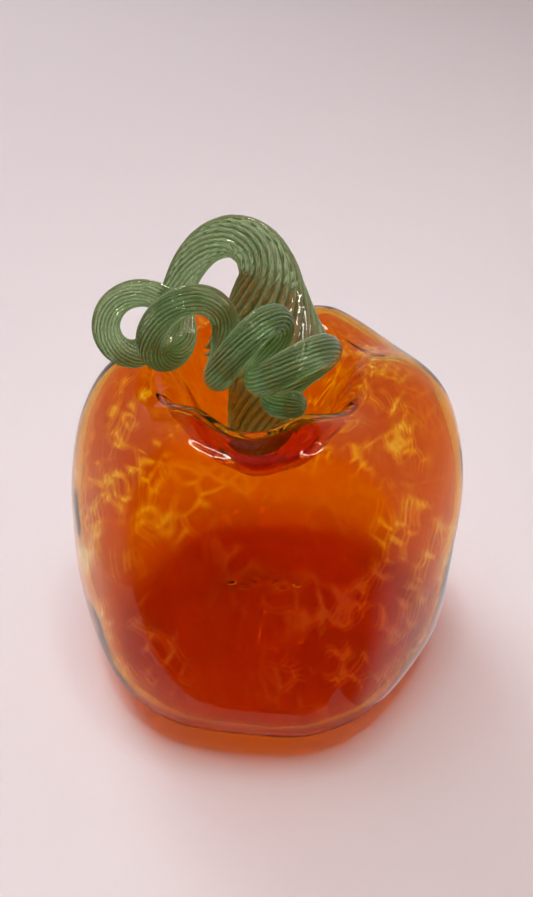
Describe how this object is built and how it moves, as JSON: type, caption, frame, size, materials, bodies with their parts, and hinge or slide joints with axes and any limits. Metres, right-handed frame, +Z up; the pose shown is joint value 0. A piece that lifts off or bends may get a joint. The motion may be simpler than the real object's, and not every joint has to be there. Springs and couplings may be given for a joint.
{
  "type": "blown glass pumpkin ornament",
  "caption": "Hollow ribbed orange glass pumpkin with a mottled wall, a deep top dimple and a solid green fluted glass stem drawn into a coiled tendril",
  "frame": {"origin": "on the surface it stands on, under the middle of the body", "axes": "+Z up, +X to the right and +Y to the back as seen from the side the tendril hangs over"},
  "size_m": [0.15, 0.1462, 0.1741],
  "materials": {
    "orange_glass": "clear mottled orange blown glass, gloss",
    "green_glass": "optic-ribbed green glass, gloss"
  },
  "bodies": {
    "root": {"pumpkin_body": "orange_glass", "stem_and_tendril": "green_glass"}
  },
  "joints": []
}
